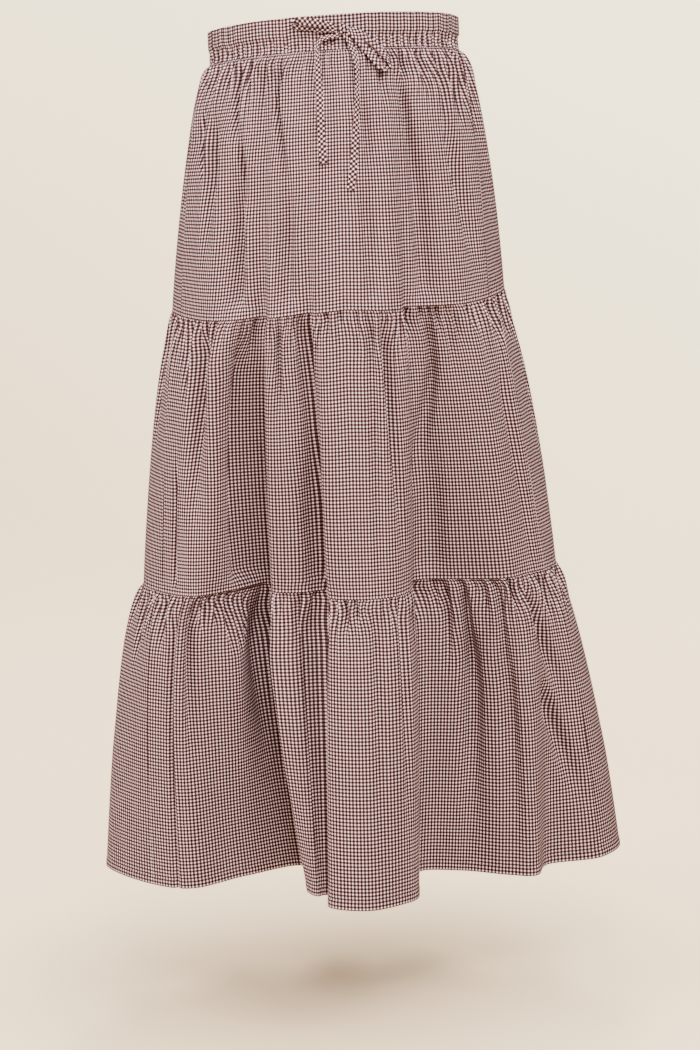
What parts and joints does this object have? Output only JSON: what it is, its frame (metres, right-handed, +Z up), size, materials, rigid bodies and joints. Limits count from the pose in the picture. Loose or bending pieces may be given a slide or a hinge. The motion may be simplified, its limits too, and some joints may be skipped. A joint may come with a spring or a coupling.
{
  "type": "tiered ruffle skirt",
  "caption": "Long gathered skirt in tiers of fine check cloth, with an elastic waistband and a tied drawstring bow, filled out as worn.",
  "frame": {"origin": "centre of the waistband, half way up it, where the wearer holds the skirt", "axes": "+Z up through the waist, -Y out of the front, +X on the right of someone looking at the front"},
  "size_m": [0.6051, 0.4706, 0.961],
  "materials": {
    "waistband_cloth": "matt",
    "tier_cloth": "matt",
    "tie_cloth": "matt"
  },
  "bodies": {
    "root": {"waistband_front": "waistband_cloth", "waistband_back": "waistband_cloth", "tier_1_front": "tier_cloth", "tier_1_back": "tier_cloth", "tier_2_front": "tier_cloth", "tier_2_back": "tier_cloth", "tier_3_front": "tier_cloth", "tier_3_back": "tier_cloth", "bow_knot": "tie_cloth", "bow_left_loop": "tie_cloth", "bow_right_loop": "tie_cloth", "bow_left_tail": "tie_cloth", "bow_right_tail": "tie_cloth"}
  },
  "joints": []
}
